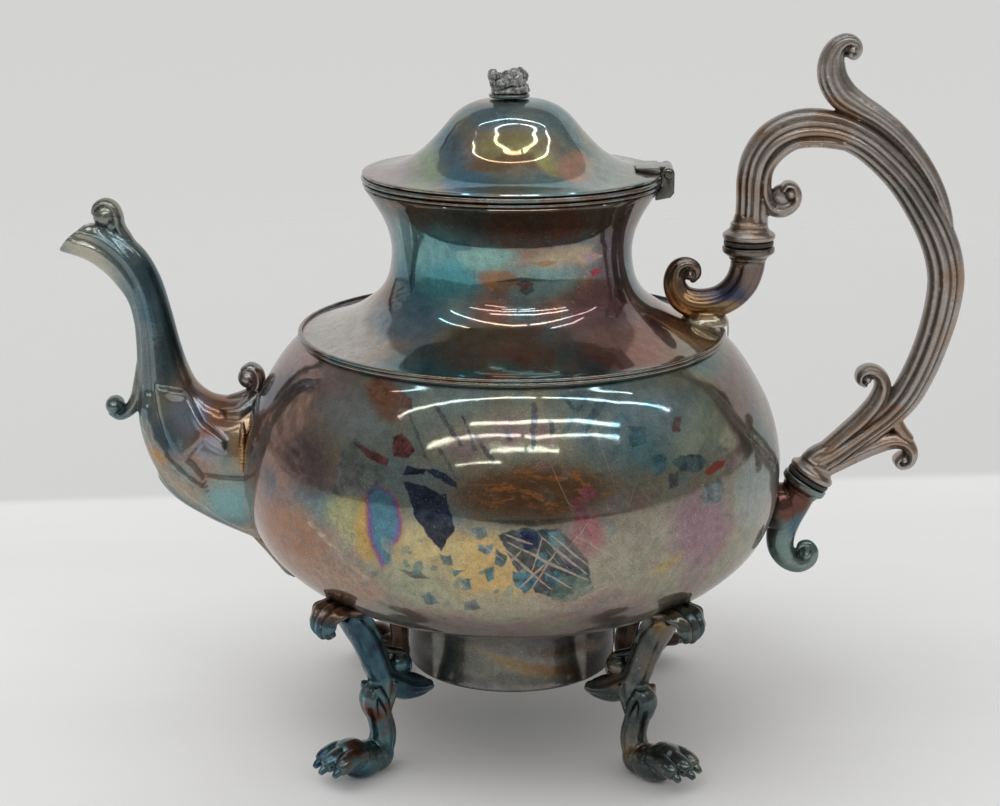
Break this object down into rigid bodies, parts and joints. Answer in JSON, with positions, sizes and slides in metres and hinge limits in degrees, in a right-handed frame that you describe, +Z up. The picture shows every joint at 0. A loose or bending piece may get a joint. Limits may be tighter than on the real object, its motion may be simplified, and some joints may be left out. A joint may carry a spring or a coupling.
{
  "type": "teapot",
  "caption": "Footed round-bellied silver teapot with a hinged domed lid, reeded swan-neck spout, scroll handle with insulators, and cast leaf-and-paw feet.",
  "frame": {"origin": "on the turning axis of the body, in the plane of the table under the feet", "axes": "+Z up along the body's axis; spout towards -X, handle and lid hinge towards +X"},
  "size_m": [0.2981, 0.1806, 0.238],
  "materials": {
    "tarnished_silver": "mirror-polished silver plate under iridescent tarnish, from pale gold through copper, purple and blue to teal, with fine scratches",
    "spout_silver": "cast silver plate, teal to dark green-grey tarnish with copper near the root",
    "handle_silver": "worn satin cast silver plate, brownish grey with dark grooves",
    "socket_silver": "cast silver plate, orange-gold to purple and teal tarnish",
    "foot_silver": "cast silver plate, dark blue-grey tarnish with bright worn high spots",
    "hinge_silver": "silver plate, grey, darkened in the joints",
    "finial_stub": "rough grey broken metal",
    "insulator": "dark heat-proof washer",
    "steel": "plain pins, stud and nut"
  },
  "bodies": {
    "pot": {"bowl": "tarnished_silver", "neck": "tarnished_silver", "shoulder_wire": "tarnished_silver", "neck_rim": "tarnished_silver", "base_pan": "tarnished_silver", "spout": "spout_silver", "handle": "handle_silver", "upper_insulator": "insulator", "lower_insulator": "insulator", "upper_socket": "socket_silver", "lower_socket": "socket_silver", "upper_handle_pin": "steel", "lower_handle_pin": "steel", "hinge_bracket": "hinge_silver", "hinge_pin": "steel", "foot_front_left": "foot_silver", "foot_front_right": "foot_silver", "foot_rear_left": "foot_silver", "foot_rear_right": "foot_silver"},
    "lid": {"lid_dome": "tarnished_silver", "lid_rim_wire": "tarnished_silver", "lid_bezel": "tarnished_silver", "hinge_lid_strap": "hinge_silver", "finial": "finial_stub", "finial_base_ring": "finial_stub", "finial_stud": "steel", "finial_nut": "steel"}
  },
  "joints": [
    {"name": "lid_hinge", "type": "hinge", "parent": "pot", "child": "lid", "pos_m": [0.0506, 0, 0.1934], "axis": [0, 1, 0], "range_deg": [0, 95]}
  ]
}
